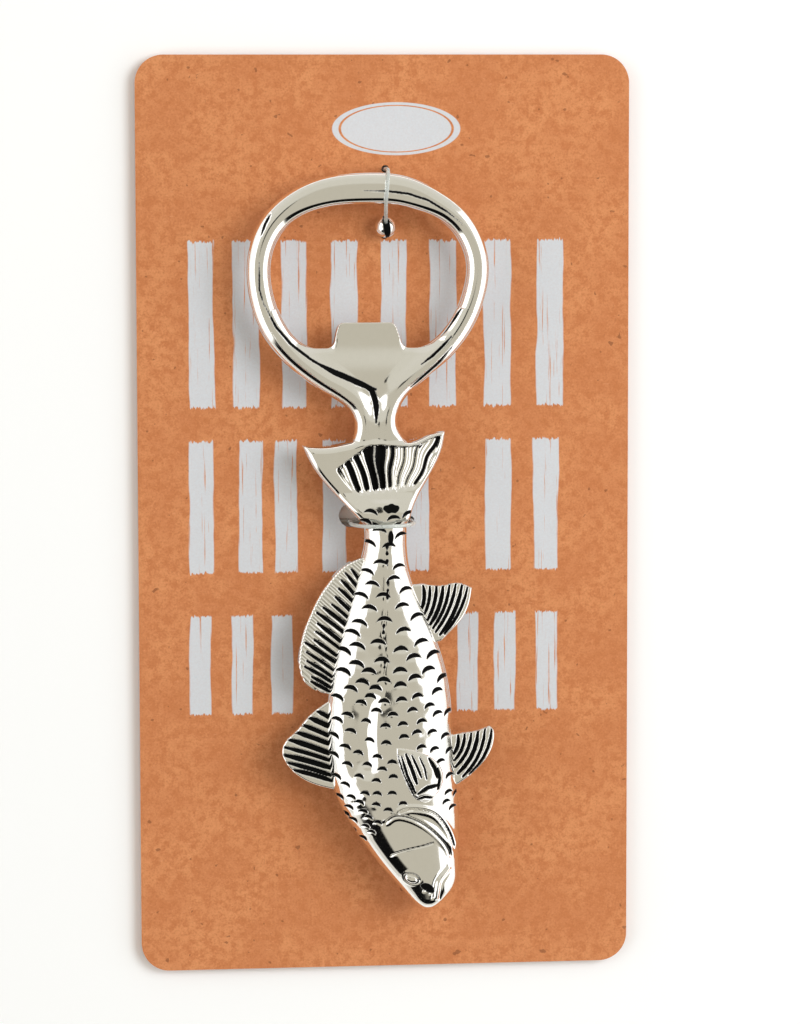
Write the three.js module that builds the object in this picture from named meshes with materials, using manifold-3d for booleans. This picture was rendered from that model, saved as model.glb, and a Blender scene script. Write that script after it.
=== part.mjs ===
// A souvenir bottle opener: a fish with an egg-shaped ring and a cap lifter at its tail, tied to
// a kraft backing card by two clear filament ties, one of them threaded through a small bead.
// Millimetres. The card lies flat with its face towards +Z and its top edge towards +Y.
import * as THREE from 'three';
import { mergeVertices } from 'three/addons/utils/BufferGeometryUtils.js';
import Module from 'manifold-3d';

const wasm = await Module();
wasm.setup();

// Driving dimensions
const GAP = 0.3; // between neighbouring pieces
const CARD_WIDTH = 101.6;
const CARD_HEIGHT = 189;
const CARD_THICKNESS = 1;
const CARD_CORNER = 5.8;
const TIE_DIAMETER = 0.8;
const TIE_BAR_DIAMETER = 1;
const TIE_BAR_LENGTH = 9;
const CARD_BACK = TIE_BAR_DIAMETER + 0.2; // height of the card's back above the ground
const CARD_FACE = CARD_BACK + CARD_THICKNESS;
const MID = CARD_FACE + 6.8; // height of the opener's middle plane
const RING_HALF_THICKNESS = 2.5;
const LIFTER_FRONT = MID + 1.1;
const LIFTER_BACK = MID - 1.5;
const TAIL_THICKNESS = 5.6;
const FIN_THICKNESS = 2.4;
const RIB_WIDTH = 0.9;
const RIB_RISE = 0.45;
const BODY_CROWN = 2.5; // exponent of the body's section: 2 is an ellipse, more is flatter
const EYE_DIAMETER = 3.8;
const EYE_RISE = 0.5;
const PECTORAL_THICKNESS = 1;
const BEAD_DIAMETER = 4.4;
const BEAD_BORE = 1.5;
const TIE_HOLE = 1.6; // the card's holes that fit a tie closely
const WIDE_HOLE = 5; // the card's wide hole beside the tail
const EYE_CENTRE = [4.6, -74.4];

// Finishes
const finish = (color, roughness, metalness) => new THREE.MeshStandardMaterial({ color, roughness, metalness });
const kraft = () => finish(0xc87f4e, 0.9, 0);
const plated = () => finish(0xc9c4b4, 0.12, 1);
const steel = () => finish(0xb9bbbd, 0.15, 1);
const clear = () => finish(0xdedcd2, 0.3, 0);

// A closed mesh from any geometry, and back again
function toSolid(geometry) {
  const bare = geometry.clone();
  bare.deleteAttribute('normal');
  bare.deleteAttribute('uv');
  const merged = mergeVertices(bare, 1e-4);
  const mesh = new wasm.Mesh({
    numProp: 3,
    vertProperties: Float32Array.from(merged.attributes.position.array),
    triVerts: Uint32Array.from(merged.index.array),
  });
  return new wasm.Manifold(mesh);
}

function toGeometry(solid) {
  const mesh = solid.getMesh();
  const geometry = new THREE.BufferGeometry();
  geometry.setAttribute('position', new THREE.BufferAttribute(Float32Array.from(mesh.vertProperties), 3));
  geometry.setIndex(new THREE.BufferAttribute(Uint32Array.from(mesh.triVerts), 1));
  geometry.computeVertexNormals();
  return geometry;
}

// A closed skin around a spine: place(along, angle) gives the point, with along running 0 to 1
function loft(steps, sides, place) {
  const geometry = new THREE.CylinderGeometry(1, 1, 1, sides, steps, false);
  const position = geometry.attributes.position;
  for (let i = 0; i < position.count; i++) {
    const radius = Math.hypot(position.getX(i), position.getZ(i));
    const angle = Math.atan2(position.getX(i), position.getZ(i));
    const point = place(position.getY(i) + 0.5, angle, radius);
    position.setXYZ(i, point.x, point.y, point.z);
  }
  return geometry;
}

// Cosine and sine of a rounded section, squarer as the crown grows
function section(angle, crown) {
  const round = (v) => Math.sign(v) * Math.abs(v) ** (2 / crown);
  return [round(Math.cos(angle)), round(Math.sin(angle))];
}

// A flat piece between two heights from a closed outline; bevel eases its edges
function plate(outline, low, high, bevel = 0, steps = 2) {
  const depth = high - low - 2 * bevel;
  const geometry = new THREE.ExtrudeGeometry(outline, {
    depth,
    curveSegments: steps,
    bevelEnabled: bevel > 0,
    bevelThickness: bevel,
    bevelSize: bevel,
    bevelOffset: -bevel / 2,
    bevelSegments: 1,
  });
  return geometry.translate(0, 0, low + bevel);
}

// An outline of runs, each a smooth curve from the last point through its own points
function outlineOf(start, ...runs) {
  const shape = new THREE.Shape();
  shape.moveTo(...start);
  for (const run of runs) {
    if (run.length === 1) {
      shape.lineTo(...run[0]);
    } else {
      shape.splineThru(run.map(([x, y]) => new THREE.Vector2(x, y)));
    }
  }
  return shape;
}

// The fish's body: height along the card, back edge, belly edge, front depth, rear depth
const bodyLine = [
  [1, -7.1, 5.1, 3.9, 3.4],
  [-4, -5.1, 4.1, 4, 3.4],
  [-10, -6.2, 4.4, 4.6, 3.7],
  [-20, -9, 8, 5.8, 4.4],
  [-30, -11.6, 11.5, 6.8, 4.9],
  [-38, -12.7, 12.9, 7.3, 5.2],
  [-48, -12.7, 13.4, 7.5, 5.2],
  [-58, -10.8, 14.3, 7.3, 5.2],
  [-66, -6.2, 14.4, 6.7, 4.9],
  [-72, -1.8, 14.2, 5.9, 4.4],
  [-77, 2.6, 13.7, 4.7, 3.6],
  [-80, 5.6, 11.2, 3.3, 2.6],
  [-81.6, 8, 8.8, 0.5, 0.5],
];
const edgeCurve = new THREE.CatmullRomCurve3(
  bodyLine.map(([y, left, right]) => new THREE.Vector3(left, y, right)), false, 'centripetal');
const depthCurve = new THREE.CatmullRomCurve3(
  bodyLine.map(([y, , , front, rear]) => new THREE.Vector3(front, y, rear)), false, 'centripetal');

function bodySolid(grow) {
  return toSolid(loft(32, 26, (along, angle, radius) => {
    const edge = edgeCurve.getPoint(along);
    const depth = depthCurve.getPoint(along);
    const [c, s] = section(angle, BODY_CROWN);
    const end = grow * (along === 0 ? 1 : 0) - grow * (along === 1 ? 1 : 0);
    const across = (edge.z - edge.x) / 2 + grow;
    const deep = (s > 0 ? depth.x : depth.z) + grow;
    return new THREE.Vector3(
      (edge.x + edge.z) / 2 + c * across * radius, edge.y + end, MID + s * deep * radius);
  }));
}

// The ring's bar: centre of the bar round the egg from the neck's left side to its right, and
// half the bar's width
const barLine = [
  [-4.72, 16, 2.15], [-4.72, 20.5, 2.1], [-6.8, 24.2, 2.1], [-12, 28, 2.2], [-19, 33.4, 2.3],
  [-23.9, 40, 2.3], [-26, 47.5, 2.2], [-25.9, 54, 2.2], [-23, 60.4, 2.4], [-17, 65, 2.7],
  [-10.5, 66.9, 3], [-4, 67.3, 3.1], [2.5, 66.9, 3], [9, 64.6, 2.6], [14.6, 60.6, 2.3],
  [17.9, 54.5, 2.1], [18.2, 48.5, 2.1], [15.9, 41, 2.2], [11.3, 34.6, 2.2], [5.6, 29.6, 2.1],
  [1.4, 25.2, 2.05], [-0.28, 20.5, 2.05], [-0.28, 16, 2.15],
];
const barCurve = new THREE.CatmullRomCurve3(
  barLine.map(([x, y, half]) => new THREE.Vector3(x, y, half)), false, 'centripetal');

function barSolid(grow) {
  return toSolid(loft(70, 12, (along, angle, radius) => {
    const at = barCurve.getPoint(along);
    const ahead = barCurve.getTangent(along);
    const across = new THREE.Vector2(-ahead.y, ahead.x).normalize();
    const [c, s] = section(angle, 2.3);
    const reach = (at.z + grow) * c * radius;
    const end = grow * (along === 1 || along === 0 ? 1 : 0);
    return new THREE.Vector3(
      at.x + across.x * reach, at.y + across.y * reach - end, MID + s * (RING_HALF_THICKNESS + grow) * radius);
  }));
}

// A round cord along a curve
function cord(curve, diameter, steps) {
  const frames = curve.computeFrenetFrames(steps, false);
  return loft(steps, 8, (along, angle, radius) => {
    const i = Math.round(along * steps);
    const point = curve.getPoint(along);
    const reach = (radius * diameter) / 2;
    return point.addScaledVector(frames.normals[i], reach * Math.cos(angle))
      .addScaledVector(frames.binormals[i], reach * Math.sin(angle));
  });
}

// Card and ties
const ringHoles = [[0.3, 71.2], [0.1, 57.7]];
const tailHoles = [[-7, 0], [5.4, -1.1]];
const tailLegs = [[-7.2, -1.3], [5.4, -1.1]];

function backingCard() {
  const halfWidth = CARD_WIDTH / 2;
  const halfHeight = CARD_HEIGHT / 2;
  const inX = halfWidth - CARD_CORNER;
  const inY = halfHeight - CARD_CORNER;
  const shape = new THREE.Shape();
  shape.absarc(inX, inY, CARD_CORNER, 0, Math.PI / 2);
  shape.absarc(-inX, inY, CARD_CORNER, Math.PI / 2, Math.PI);
  shape.absarc(-inX, -inY, CARD_CORNER, Math.PI, 1.5 * Math.PI);
  shape.absarc(inX, -inY, CARD_CORNER, 1.5 * Math.PI, 2 * Math.PI);
  shape.closePath();
  for (const [x, y] of [...ringHoles, ...tailHoles]) {
    const diameter = x === tailHoles[0][0] ? WIDE_HOLE : TIE_HOLE;
    const hole = new THREE.Path();
    hole.absarc(x, y, diameter / 2, 0, 2 * Math.PI, true);
    shape.holes.push(hole);
  }
  return plate(shape, CARD_BACK, CARD_FACE, 0, 8);
}

function tieBar(x, y) {
  const radius = TIE_BAR_DIAMETER / 2;
  const bar = new THREE.CapsuleGeometry(radius, TIE_BAR_LENGTH - 2 * radius, 2, 8);
  return bar.rotateZ(Math.PI / 2).translate(x, y, radius);
}

const legEnd = CARD_BACK + 0.1;
const beadCentre = new THREE.Vector3(0.1, 59.5, 5);
const threadLine = new THREE.Vector3(-0.08, 0.55, 0.83).normalize();

function ringTie() {
  const top = MID + RING_HALF_THICKNESS + GAP + TIE_DIAMETER / 2;
  const alongThread = (distance) => beadCentre.clone().addScaledVector(threadLine, distance);
  const [outer, inner] = ringHoles;
  const points = [
    new THREE.Vector3(outer[0], outer[1], legEnd),
    new THREE.Vector3(outer[0], outer[1], CARD_FACE),
    new THREE.Vector3(outer[0] - 0.1, outer[1], MID - 1),
    new THREE.Vector3(outer[0] - 0.3, outer[1] - 0.5, MID + 1.9),
    new THREE.Vector3(-0.3, 67.6, top),
    new THREE.Vector3(-0.5, 65.2, top - 0.5),
    ...[5.4, 3.6, 1.8, 0, -1.8].map(alongThread),
    new THREE.Vector3(inner[0], inner[1], CARD_FACE + 0.1),
    new THREE.Vector3(inner[0], inner[1], legEnd),
  ];
  return cord(new THREE.CatmullRomCurve3(points, false, 'centripetal'), TIE_DIAMETER, 40);
}

function tailTie() {
  const top = MID + 3.95 + GAP + TIE_DIAMETER / 2;
  const [left, right] = tailLegs;
  const points = [
    new THREE.Vector3(left[0], left[1], legEnd),
    new THREE.Vector3(left[0], left[1], CARD_FACE),
    new THREE.Vector3(left[0] + 0.1, left[1], MID + 0.2),
    new THREE.Vector3(left[0] + 2, left[1], MID + 3.8),
    new THREE.Vector3(-2.6, -1.3, top),
    new THREE.Vector3(1.8, -1.2, top),
    new THREE.Vector3(right[0] - 1.7, right[1], MID + 3.8),
    new THREE.Vector3(right[0] - 0.1, right[1], MID + 0.2),
    new THREE.Vector3(right[0], right[1], CARD_FACE),
    new THREE.Vector3(right[0], right[1], legEnd),
  ];
  return cord(new THREE.CatmullRomCurve3(points, false, 'centripetal'), TIE_DIAMETER, 36);
}

function bead() {
  const radius = BEAD_DIAMETER / 2;
  const bore = BEAD_BORE / 2;
  const lip = Math.asin(bore / radius);
  const profile = [];
  const steps = 10;
  for (let i = 0; i <= steps; i++) {
    const turn = lip + ((Math.PI - 2 * lip) * i) / steps;
    profile.push(new THREE.Vector2(radius * Math.sin(turn), -radius * Math.cos(turn)));
  }
  profile.push(profile[0].clone());
  const turnTo = new THREE.Quaternion().setFromUnitVectors(new THREE.Vector3(0, 1, 0), threadLine);
  return new THREE.LatheGeometry(profile, 18).applyQuaternion(turnTo)
    .translate(beadCentre.x, beadCentre.y, beadCentre.z);
}

// Opener
function capLifter() {
  const shape = outlineOf([-9.2, 40],
    [[0.9, 40]],
    [[1.7, 39.4], [2.7, 36.9], [3.6, 35.6], [5.1, 35.1], [6.9, 35.5], [8.6, 37]],
    [[11.3, 34.6]],
    [[5.6, 29.6], [0.6, 24.6], [-2.5, 23.4], [-5.6, 24.6], [-12, 28]],
    [[-19, 33.4]],
    [[-17.6, 36.2], [-15.8, 35.2], [-14, 34.9], [-12.2, 35.4], [-10.9, 37], [-10.2, 39.4], [-9.2, 40]]);
  return toGeometry(toSolid(plate(shape, LIFTER_BACK, LIFTER_FRONT, 0.25)).subtract(barSolid(GAP)));
}

function ringAndNeck() {
  const neck = outlineOf([-6.4, 15.8],
    [[-5.6, 18.5], [-5.4, 21], [-6, 23]],
    [[1, 23]],
    [[0.5, 21], [0.9, 18.5], [2.4, 15.8]]);
  const foot = outlineOf([-7.9, 15.8],
    [[-7.3, 17.4], [-6.8, 20]],
    [[1.8, 20]],
    [[2.6, 17.8], [4.1, 15.8]]);
  const core = toSolid(plate(neck, MID - 2, MID + 2));
  const flare = toSolid(plate(foot, MID - 2.2, MID + 2.2));
  const bars = barSolid(0).trimByPlane([0, 1, 0], 15.8);
  return toGeometry(bars.add(core).add(flare));
}

// A fan of ribs standing proud of both faces of a fin, kept inside its outline
function withRibs(fin, outline, thickness, { from, run, tilt, spread, count, length }) {
  const half = thickness / 2 + RIB_RISE;
  const bound = toSolid(plate(outline, MID - half, MID + half));
  let ribbed = fin;
  for (let i = 0; i < count; i++) {
    const rib = new THREE.BoxGeometry(length, RIB_WIDTH, 2 * half)
      .translate(-length / 2, 0, 0)
      .rotateZ(THREE.MathUtils.degToRad(-tilt - spread * i))
      .translate(from[0] + run[0] * i, from[1] + run[1] * i, MID);
    ribbed = ribbed.add(toSolid(rib).intersect(bound));
  }
  return ribbed;
}

const tailRibs = { from: [-4.2, 5.2], run: [1.1, 0], tilt: 42, spread: 14, count: 7, length: 12 };

function tailFin() {
  const shape = outlineOf([-17.2, 14.8],
    [[-14.8, 10.2], [-11.5, 5.8], [-8, 1.9], [-7.1, 1.3]],
    [[5.1, 1.3]],
    [[6.6, 5], [9.3, 10], [10.9, 14], [11.4, 17.6]],
    [[7.6, 16.8], [4.6, 15.5]],
    [[-8, 15.5]],
    [[-12, 14.7], [-17.2, 14.8]]);
  const slab = toSolid(plate(shape, MID - TAIL_THICKNESS / 2, MID + TAIL_THICKNESS / 2, 0.6));
  const rootShape = outlineOf([-7.1, 1.3], [[5.1, 1.3]], [[3.4, 5.6], [-1, 7.6], [-5, 5.6], [-7.1, 1.3]]);
  const root = toSolid(plate(rootShape, MID - 3.5, MID + 3.7, 0.6));
  return toGeometry(withRibs(slab, shape, TAIL_THICKNESS, tailRibs).add(root));
}

// Edge fins: outline of each, its root running inside the body, and the fan of ribs on its faces
const edgeFins = {
  dorsal_fin_rear: {
    outline: [[-5, -8], [[-8.6, -9.2], [-11.2, -11.3], [-14.3, -15], [-16.6, -19.5], [-17.9, -24],
      [-18.6, -28.5], [-18, -31.2], [-15.6, -34.2], [-12.2, -36.2]], [[-8, -34]], [[-4, -12], [-5, -8]]],
    ribs: { from: [-3.5, -16], tilt: 40, spread: 0, run: [0, -4.6], count: 7, length: 18 },
  },
  dorsal_fin_front: {
    outline: [[-12.9, -37.6], [[-15.6, -40.4], [-19.4, -44], [-21.4, -46], [-22.1, -48.2], [-21.4, -50],
      [-19.6, -52.4], [-16.6, -54.2], [-12, -55.4]], [[-8, -52]], [[-8, -41]], [[-12.9, -37.6]]],
    ribs: { from: [-8, -38.5], tilt: 30, spread: -3, run: [0, -2.3], count: 7, length: 17 },
  },
  anal_fin: {
    outline: [[4.5, -13.7], [[8, -13.5], [11, -14], [14, -13.4], [17.4, -14.2]],
      [[15.6, -18.6], [13.6, -22], [10.8, -24.9]], [[6, -22]], [[2.5, -15]], [[4.5, -13.7]]],
    ribs: { from: [6.5, -15.5], tilt: 262, spread: -3, run: [1.9, -1], count: 5, length: 14 },
  },
  pelvic_fin: {
    outline: [[12, -43.8], [[15, -44.4], [18, -43.6], [20.8, -43.2], [21.9, -44.6], [21.4, -47.4]],
      [[19, -51.4], [14.6, -54.8]], [[10, -53]], [[9.5, -45]], [[12, -43.8]]],
    ribs: { from: [13.5, -45.5], tilt: 255, spread: -4, run: [1.7, 0.2], count: 4, length: 14 },
  },
};

function edgeFin({ outline, ribs }) {
  const shape = outlineOf(...outline);
  const half = FIN_THICKNESS / 2;
  const fin = withRibs(toSolid(plate(shape, MID - half, MID + half, 0.4)), shape, FIN_THICKNESS, ribs);
  return fin.subtract(bodySolid(GAP));
}

function pectoralOutline() {
  return outlineOf([1.1, -46.3],
    [[5.4, -47.4], [8.8, -49], [10.6, -52], [10, -55.2], [7.2, -58.2]],
    [[4.2, -56.6], [2, -52.4], [1.1, -46.3]]);
}

// The pectoral fins lie flat on both flanks
function pectoralFin(side) {
  const prism = side > 0
    ? plate(pectoralOutline(), MID, MID + 12)
    : plate(pectoralOutline(), MID - 12, MID);
  return toSolid(prism).intersect(bodySolid(GAP + PECTORAL_THICKNESS)).subtract(bodySolid(GAP));
}

// Each eye is a low dome standing on the floor of a round socket
function flankDepth(side) {
  return side > 0 ? 5.1 : 3.9;
}

function eye(side) {
  const profile = [new THREE.Vector2(0, 0), new THREE.Vector2(EYE_DIAMETER / 2, 0)];
  const wall = 0.7;
  for (let i = 0; i <= 5; i++) {
    const turn = (i / 5) * (Math.PI / 2);
    profile.push(new THREE.Vector2((EYE_DIAMETER / 2) * Math.cos(turn), wall + (EYE_RISE + 0.4) * Math.sin(turn)));
  }
  profile[profile.length - 1].x = 0;
  profile.push(new THREE.Vector2(0, 0));
  const foot = flankDepth(side) - 0.9;
  return new THREE.LatheGeometry(profile, 20).rotateX((side * Math.PI) / 2)
    .translate(EYE_CENTRE[0], EYE_CENTRE[1], MID + side * foot);
}

function fishBody() {
  let body = bodySolid(0);
  const depth = 8;
  for (const side of [1, -1]) {
    const foot = flankDepth(side) - 0.9 - GAP;
    const socket = new THREE.CylinderGeometry(EYE_DIAMETER / 2 + GAP, EYE_DIAMETER / 2 + GAP, depth, 20)
      .rotateX(Math.PI / 2)
      .translate(EYE_CENTRE[0], EYE_CENTRE[1], MID + side * (foot + depth / 2));
    body = body.subtract(toSolid(socket));
  }
  return toGeometry(body);
}

// Assembly
const group = new THREE.Group();
group.name = 'souvenir_bottle_opener';

function addPiece(name, geometry, material) {
  const mesh = new THREE.Mesh(geometry, material);
  mesh.name = name;
  group.add(mesh);
}

addPiece('backing_card', backingCard(), kraft());
addPiece('tie_bar_ring_outer', tieBar(...ringHoles[0]), clear());
addPiece('tie_bar_ring_inner', tieBar(...ringHoles[1]), clear());
addPiece('tie_bar_tail_left', tieBar(...tailLegs[0]), clear());
addPiece('tie_bar_tail_right', tieBar(...tailLegs[1]), clear());
addPiece('ring_and_neck', ringAndNeck(), plated());
addPiece('cap_lifter', capLifter(), plated());
addPiece('tail_fin', tailFin(), plated());
addPiece('fish_body', fishBody(), plated());
for (const [name, fin] of Object.entries(edgeFins)) {
  addPiece(name, toGeometry(edgeFin(fin)), plated());
}
addPiece('pectoral_fin_front', toGeometry(pectoralFin(1)), plated());
addPiece('pectoral_fin_rear', toGeometry(pectoralFin(-1)), plated());
addPiece('eye_front', eye(1), plated());
addPiece('eye_rear', eye(-1), plated());
addPiece('tie_over_ring', ringTie(), clear());
addPiece('bead', bead(), steel());
addPiece('tie_over_tail', tailTie(), clear());

export default group;
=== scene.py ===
import math

import bmesh
import bpy
import numpy as np
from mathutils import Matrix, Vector


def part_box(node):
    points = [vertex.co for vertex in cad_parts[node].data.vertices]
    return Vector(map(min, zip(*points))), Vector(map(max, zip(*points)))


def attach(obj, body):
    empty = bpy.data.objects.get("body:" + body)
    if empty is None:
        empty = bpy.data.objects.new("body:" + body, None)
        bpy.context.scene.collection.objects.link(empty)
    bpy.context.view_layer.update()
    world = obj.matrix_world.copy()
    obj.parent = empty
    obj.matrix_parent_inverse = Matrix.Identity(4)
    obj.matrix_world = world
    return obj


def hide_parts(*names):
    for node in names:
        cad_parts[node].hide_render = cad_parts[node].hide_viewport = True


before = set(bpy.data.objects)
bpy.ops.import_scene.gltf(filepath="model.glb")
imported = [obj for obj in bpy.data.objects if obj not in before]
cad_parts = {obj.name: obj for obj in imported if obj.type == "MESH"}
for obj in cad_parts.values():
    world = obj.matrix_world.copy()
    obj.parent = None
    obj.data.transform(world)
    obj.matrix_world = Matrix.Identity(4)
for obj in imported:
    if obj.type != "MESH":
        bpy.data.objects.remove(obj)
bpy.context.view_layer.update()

MM = 0.001

# ---- places, all read from the CAD nodes (mm)


def box_mm(node):
    low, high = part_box(node)
    return np.array(low) / MM, np.array(high) / MM


card_low, card_high = box_mm("backing_card")
ring_low, ring_high = box_mm("ring_and_neck")
CARD_FACE = card_high[2]
MID = (ring_low[2] + ring_high[2]) / 2
CARD_CENTRE = (card_low + card_high) / 2

# ---- camera and light

LENS = 140.6
CAMERA_FROM_CARD = (-84.3, 80.2, 817.8)  # from the middle of the card's face (mm)
CAMERA_TURN = (-5.518, -6.119, -0.115)  # degrees


def make_camera():
    cam = bpy.data.objects.new("camera", bpy.data.cameras.new("camera"))
    cam.data.sensor_width = 36.0
    cam.data.lens = LENS
    stand = np.array([CARD_CENTRE[0], CARD_CENTRE[1], CARD_FACE]) + CAMERA_FROM_CARD
    cam.location = Vector(stand) * MM
    cam.rotation_euler = [math.radians(a) for a in CAMERA_TURN]
    bpy.context.collection.objects.link(cam)
    bpy.context.scene.camera = cam


make_camera()


class Nodes:
    """A short way to write a node tree."""

    def __init__(self, tree):
        self.tree = tree
        tree.nodes.clear()

    def add(self, kind, inputs=None, **settings):
        node = self.tree.nodes.new(kind)
        for name, value in settings.items():
            setattr(node, name, value)
        self.fill(node, inputs or {})
        return node

    def fill(self, node, inputs):
        for name, value in inputs.items():
            self.put(node.inputs[name], value)

    def put(self, socket, value):
        if isinstance(value, bpy.types.NodeSocket):
            self.tree.links.new(value, socket)
        else:
            socket.default_value = value

    def math(self, operation, *values):
        return self.add("ShaderNodeMath", dict(enumerate(values)), operation=operation).outputs[0]

    def times(self, a, b):
        return self.math("MULTIPLY", a, b)

    def plus(self, a, b):
        return self.math("ADD", a, b)

    def minus(self, a, b):
        return self.math("SUBTRACT", a, b)

    def band(self, value, low, high, soft):
        """1 where value lies between low and high, with soft edges."""
        rise = self.step(value, low - soft, low + soft)
        fall = self.step(value, high - soft, high + soft)
        return self.minus(rise, fall)

    def step(self, value, low, high, to_low=0.0, to_high=1.0):
        inputs = dict(enumerate((value, low, high, to_low, to_high)))
        return self.add("ShaderNodeMapRange", inputs, interpolation_type="SMOOTHSTEP").outputs[0]

    def mix(self, factor, a, b):
        return self.add("ShaderNodeMix", {0: factor, 6: a, 7: b}, data_type="RGBA").outputs[2]

    def noise(self, where, scale, detail=2.0, rough=0.5):
        inputs = {"Vector": where, "Scale": scale, "Detail": detail, "Roughness": rough}
        return self.add("ShaderNodeTexNoise", inputs).outputs["Fac"]


def new_material(name):
    """A material with its tree, the place in its object's own space and the shader on its output."""
    material = bpy.data.materials.new(name)
    material.use_nodes = True
    n = Nodes(material.node_tree)
    place = n.add("ShaderNodeTexCoord").outputs["Object"]
    shader = n.add("ShaderNodeBsdfPrincipled")
    n.add("ShaderNodeOutputMaterial", {0: shader.outputs[0]})
    return material, n, place, shader


WHITE_PANEL = (1.5, 1.5, 1.5, 1)


def make_world():
    """The studio round the camera: a warm grey ceiling, a white panel on each side and a dark end below."""
    world = bpy.data.worlds.new("studio")
    bpy.context.scene.world = world
    world.use_nodes = True
    n = Nodes(world.node_tree)
    where = n.add("ShaderNodeTexCoord").outputs["Generated"]
    split = n.add("ShaderNodeSeparateXYZ", {0: where})
    x, y, z = split.outputs
    tilt = n.times(n.math("ARCCOSINE", z), 180 / math.pi)
    turn = n.times(n.math("ARCTAN2", y, x), 180 / math.pi)
    low_turn = n.math("ABSOLUTE", n.plus(turn, 2.0))
    left_turn = n.math("ABSOLUTE", n.minus(n.math("ABSOLUTE", turn), 180.0))
    ahead = n.step(y, 0.09, 0.17)
    ceiling = n.mix(ahead, (0.53, 0.50, 0.415, 1), (0.64, 0.62, 0.54, 1))
    panel_tilt = n.step(tilt, 42, 44)
    right_panel = n.times(panel_tilt, n.step(low_turn, 43, 41))
    left_panel = n.times(panel_tilt, n.step(left_turn, 40, 38))
    dark_sector = n.band(turn, -139, -46, 1.5)
    dark = n.times(dark_sector, n.band(tilt, 41, 75, 2))
    colour = n.mix(n.step(tilt, 30, 80), ceiling, (0.70, 0.68, 0.62, 1))
    colour = n.mix(dark, colour, (0.004, 0.004, 0.004, 1))
    colour = n.mix(right_panel, colour, WHITE_PANEL)
    colour = n.mix(left_panel, colour, WHITE_PANEL)
    # the dark shape that stands where the camera does
    stand = bpy.context.scene.camera.location.normalized()
    toward = n.add("ShaderNodeVectorMath", {0: where, 1: stand}, operation="DOT_PRODUCT")
    away = n.times(n.math("ARCCOSINE", toward.outputs["Value"]), 180 / math.pi)
    colour = n.mix(n.step(away, 5.6, 4.6), colour, (0.01, 0.01, 0.01, 1))
    background = n.add("ShaderNodeBackground", {"Color": colour, "Strength": 1.0})
    n.add("ShaderNodeOutputWorld", {0: background.outputs[0]})


make_world()


def make_light():
    """One soft cool panel from the upper right, which the metal doesn't show."""
    light = bpy.data.lights.new("key_panel", "AREA")
    light.shape = "RECTANGLE"
    light.size = 0.5
    light.size_y = 0.5
    light.energy = 4.4
    light.color = (0.93, 0.97, 1.0)
    obj = bpy.data.objects.new("key_panel", light)
    at = Vector((0.55, 0.25, 0.75))
    obj.location = at
    obj.rotation_euler = (-at).to_track_quat("-Z", "Y").to_euler()
    obj.visible_camera = False
    obj.visible_glossy = False
    bpy.context.collection.objects.link(obj)


make_light()
bpy.context.scene.view_settings.view_transform = "Standard"

# ---- shape tools


def bends(at, values):
    """Second derivatives of the natural cubic curve through values, which lie at rising places."""
    n = len(at)
    h = np.diff(at)
    slope = (np.diff(values, axis=0).T / h).T
    a = np.zeros((n, n))
    b = np.zeros_like(values)
    a[0, 0] = a[-1, -1] = 1
    for i in range(1, n - 1):
        a[i, i - 1:i + 2] = h[i - 1], 2 * (h[i - 1] + h[i]), h[i]
        b[i] = 6 * (slope[i] - slope[i - 1])
    return np.linalg.solve(a, b)


def cubic(at, values, second, t):
    """The natural cubic curve and its slope, at each t."""
    i = np.clip(np.searchsorted(at, t, side="right") - 1, 0, len(at) - 2)
    h = at[i + 1] - at[i]
    u = t - at[i]
    if values.ndim > 1:
        h, u = h[..., None], u[..., None]
    v = h - u
    low = values[i] / h - second[i] * h / 6
    high = values[i + 1] / h - second[i + 1] * h / 6
    value = (second[i] * v**3 + second[i + 1] * u**3) / (6 * h) + low * v + high * u
    slope = (second[i + 1] * u**2 - second[i] * v**2) / (2 * h) - low + high
    return value, slope


class Spline:
    """A smooth curve through points, with continuous curvature. Called with t in 0..1."""

    def __init__(self, points):
        self.points = np.asarray(points, float)
        reach = np.linalg.norm(np.diff(self.points[:, :2], axis=0), axis=1) ** 0.5
        knots = np.concatenate([[0], np.cumsum(reach)])
        self.knots = knots / knots[-1]
        self.second = bends(self.knots, self.points)

    def both(self, t):
        """The curve's point and its derivative at t."""
        return cubic(self.knots, self.points, self.second, np.clip(np.asarray(t, float), 0, 1))

    def __call__(self, t):
        return self.both(t)[0]

    def nearest(self, xy, samples=240, rounds=3):
        """The parameter of the nearest point to each xy."""
        grid = np.linspace(0, 1, samples)
        cloud = self(grid)[:, :2]
        best = np.empty(len(xy), int)
        for s in range(0, len(xy), 20000):
            part = xy[s:s + 20000]
            gap = (part[:, :1] - cloud[:, 0]) ** 2 + (part[:, 1:] - cloud[:, 1]) ** 2
            best[s:s + 20000] = gap.argmin(1)
        t = grid[best]
        for _ in range(rounds):
            c, d = (part[:, :2] for part in self.both(t))
            move = ((xy - c) * d).sum(1) / (d * d).sum(1)
            t = np.clip(t + np.clip(move, -1 / samples, 1 / samples), 0, 1)
        return t

    def side(self, xy):
        """Signed distance to the curve, positive on its left, and the parameter of the nearest point."""
        t = self.nearest(xy)
        c, d = (part[:, :2] for part in self.both(t))
        gap = xy - c
        turn = np.sign(d[:, 0] * gap[:, 1] - d[:, 1] * gap[:, 0])
        return turn * np.hypot(gap[:, 0], gap[:, 1]), t


class Profile:
    """A smooth number along one axis, through (place, value) pairs; straight beyond its ends."""

    def __init__(self, *pairs):
        self.at, self.value = np.array(sorted(pairs), float).T
        self.second = bends(self.at, self.value)

    def __call__(self, x):
        inside = np.clip(x, self.at[0], self.at[-1])
        value, slope = cubic(self.at, self.value, self.second, inside)
        return value + slope * (x - inside)

    def slope(self, x, e=0.05):
        return (self(x + e) - self(x - e)) / (2 * e)


def smooth_min(a, b, r):
    h = np.clip(0.5 + 0.5 * (b - a) / r, 0, 1)
    return b + (a - b) * h - r * h * (1 - h)


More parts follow.
